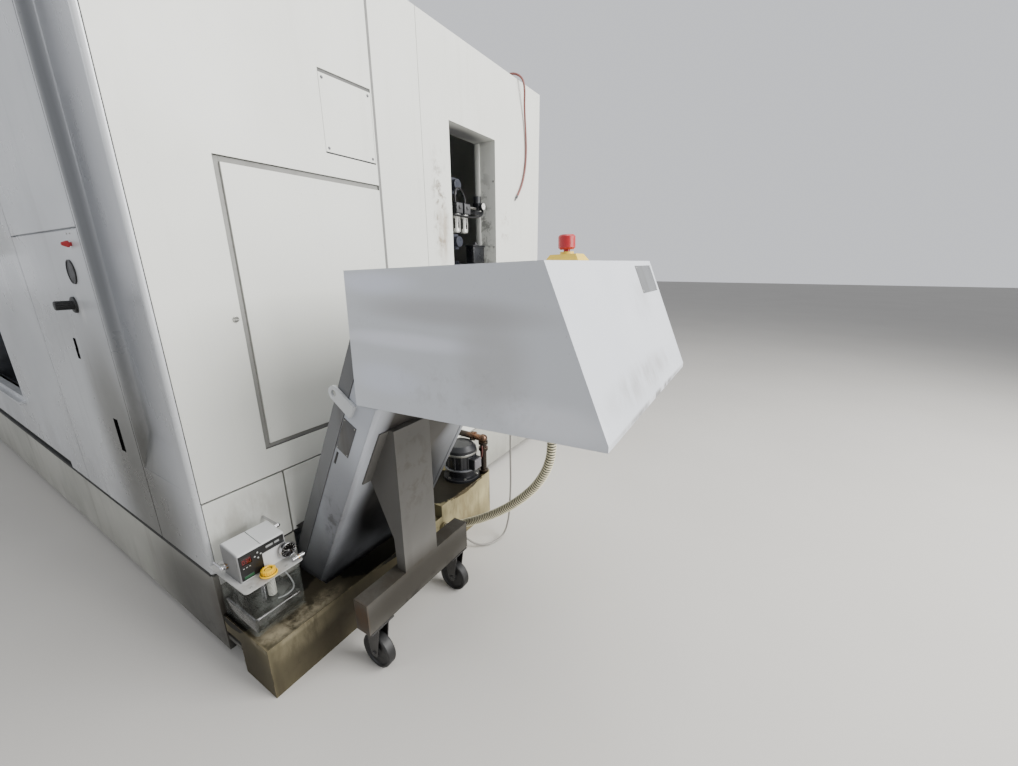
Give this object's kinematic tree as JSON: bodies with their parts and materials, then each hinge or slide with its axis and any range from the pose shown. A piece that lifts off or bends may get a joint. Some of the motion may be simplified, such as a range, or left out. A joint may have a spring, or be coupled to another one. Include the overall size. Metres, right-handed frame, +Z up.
{
  "type": "slant bed lathe",
  "caption": "Enclosed slant-bed turning machine with sliding door, turret, tailstock, side lubrication unit, low coolant tank and a hooded chip conveyor rising from its right end.",
  "frame": {"origin": "on the floor, under the middle of the whole machine with its conveyor", "axes": "+X towards the conveyor end, +Y from the operator to the back, +Z up"},
  "size_m": [5.568, 2.3099, 2.3376],
  "materials": {
    "cover_white": "satin",
    "cover_grey": "satin",
    "base_paint": "matte",
    "conveyor_paint": "satin",
    "skirt_paint": "matte",
    "leg_paint": "matte",
    "tank_paint": "matte",
    "cast": "matte",
    "steel": "satin",
    "sheet_steel": "satin",
    "black_steel": "satin",
    "black_plastic": "matte",
    "grey_plastic": "matte",
    "yellow_plastic": "satin",
    "red_plastic": "gloss",
    "yellow_cap": "satin",
    "clear_plastic": "gloss",
    "window_glass": "gloss",
    "rubber": "matte",
    "brass": "satin",
    "chrome": "gloss",
    "hose_cream": "matte",
    "cable_grey": "matte",
    "line_red": "matte",
    "wheel_rubber": "matte",
    "zinc": "satin"
  },
  "bodies": {
    "machine": {"machine_base": "base_paint", "levelling_feet": "zinc", "slant_bed": "cast", "headstock": "cast", "work_guard": "sheet_steel", "front_column": "cover_grey", "front_panel_upper": "cover_grey", "front_panel_lower": "cover_grey", "front_door_frame": "cover_grey", "front_left_cover": "cover_grey", "operator_panel": "cover_white", "front_gauge": "black_plastic", "roof_cover": "cover_white", "rear_covers": "cover_white", "end_cover_front": "cover_white", "access_panel": "cover_white", "small_cover": "cover_white", "end_cover_rear": "cover_white", "end_lower_covers": "cover_white", "hydraulic_column": "black_steel", "air_unit": "black_plastic", "coolant_tank": "tank_paint", "coolant_pump": "black_steel", "coolant_pipe": "brass", "conveyor_trunk": "conveyor_paint", "lifting_lug": "conveyor_paint", "trunk_cover": "skirt_paint", "entry_seal": "rubber", "chip_belt": "steel", "gear_motor": "conveyor_paint", "conveyor_hood": "conveyor_paint", "stop_base": "yellow_plastic", "conveyor_leg": "leg_paint", "caster_forks": "zinc", "lube_bracket": "base_paint", "lube_housing": "grey_plastic", "lube_face": "black_plastic", "lube_reservoir": "clear_plastic", "lube_gauge": "chrome", "lube_fittings": "chrome", "drain_hose": "hose_cream", "motor_cable": "cable_grey", "loose_line": "line_red"},
    "door": {"front_door": "cover_white", "door_window": "window_glass"},
    "chuck": {"chuck": "steel"},
    "saddle": {"saddle": "cast"},
    "turret_slide": {"turret_slide": "cast"},
    "turret_disc": {"turret_disc": "steel"},
    "tailstock": {"tailstock": "cast"},
    "quill": {"tailstock_quill": "chrome"},
    "operator_stop": {"operator_stop_button": "red_plastic"},
    "knob": {"front_knob": "black_plastic"},
    "push_button": {"front_button": "red_plastic"},
    "latch": {"access_latch": "zinc"},
    "head_shaft": {"head_shaft": "steel"},
    "hood_stop": {"hood_stop_button": "red_plastic"},
    "wheel_near": {"caster_wheel_near": "wheel_rubber"},
    "wheel_far": {"caster_wheel_far": "wheel_rubber"},
    "filler_cap": {"lube_cap": "yellow_cap"}
  },
  "joints": [
    {"name": "door_slide", "type": "slide", "parent": "machine", "child": "door", "axis": [1, 0, 0], "range_m": [0, 1.174]},
    {"name": "chuck_spin", "type": "hinge", "parent": "machine", "child": "chuck", "pos_m": [-1.484, -0.42626, 1.12973], "axis": [1, 0, 0], "continuous": true},
    {"name": "saddle_slide", "type": "slide", "parent": "machine", "child": "saddle", "axis": [1, 0, 0], "range_m": [-0.08, 0.3]},
    {"name": "cross_slide", "type": "slide", "parent": "saddle", "child": "turret_slide", "axis": [0, 0.7071, 0.7071], "range_m": [-0.06, 0.08]},
    {"name": "turret_index", "type": "hinge", "parent": "turret_slide", "child": "turret_disc", "pos_m": [-1.227, -0.16109, 1.3949], "axis": [1, 0, 0], "continuous": true},
    {"name": "tailstock_slide", "type": "slide", "parent": "machine", "child": "tailstock", "axis": [1, 0, 0], "range_m": [-0.25, 0.18]},
    {"name": "quill_slide", "type": "slide", "parent": "tailstock", "child": "quill", "axis": [1, 0, 0], "range_m": [-0.1, 0]},
    {"name": "operator_stop_push", "type": "slide", "parent": "machine", "child": "operator_stop", "axis": [0, 0.9989, -0.0476], "range_m": [0, 0.005]},
    {"name": "knob_turn", "type": "hinge", "parent": "machine", "child": "knob", "pos_m": [1.026, -1.066, 1.171], "axis": [0, 1, 0], "continuous": true},
    {"name": "button_push", "type": "slide", "parent": "machine", "child": "push_button", "axis": [0, 1, 0], "range_m": [0, 0.005], "stiffness_N_per_m": 400},
    {"name": "latch_turn", "type": "hinge", "parent": "machine", "child": "latch", "pos_m": [1.616, -0.834, 1.137], "axis": [1, 0, 0], "range_deg": [0, 90]},
    {"name": "head_shaft_spin", "type": "hinge", "parent": "machine", "child": "head_shaft", "pos_m": [2.1453, -0.576, 1.09215], "axis": [0, 1, 0], "continuous": true},
    {"name": "hood_stop_push", "type": "slide", "parent": "machine", "child": "hood_stop", "axis": [0.0382, 0, -0.9993], "range_m": [0, 0.005]},
    {"name": "wheel_near_spin", "type": "hinge", "parent": "machine", "child": "wheel_near", "pos_m": [2.062, -0.789, 0.062], "axis": [0, 1, 0], "continuous": true},
    {"name": "wheel_far_spin", "type": "hinge", "parent": "machine", "child": "wheel_far", "pos_m": [2.062, -0.39, 0.062], "axis": [0, 1, 0], "continuous": true},
    {"name": "cap_turn", "type": "hinge", "parent": "machine", "child": "filler_cap", "pos_m": [1.809, -0.966, 0.385], "axis": [0, 0, 1], "range_deg": [0, 120]}
  ]
}
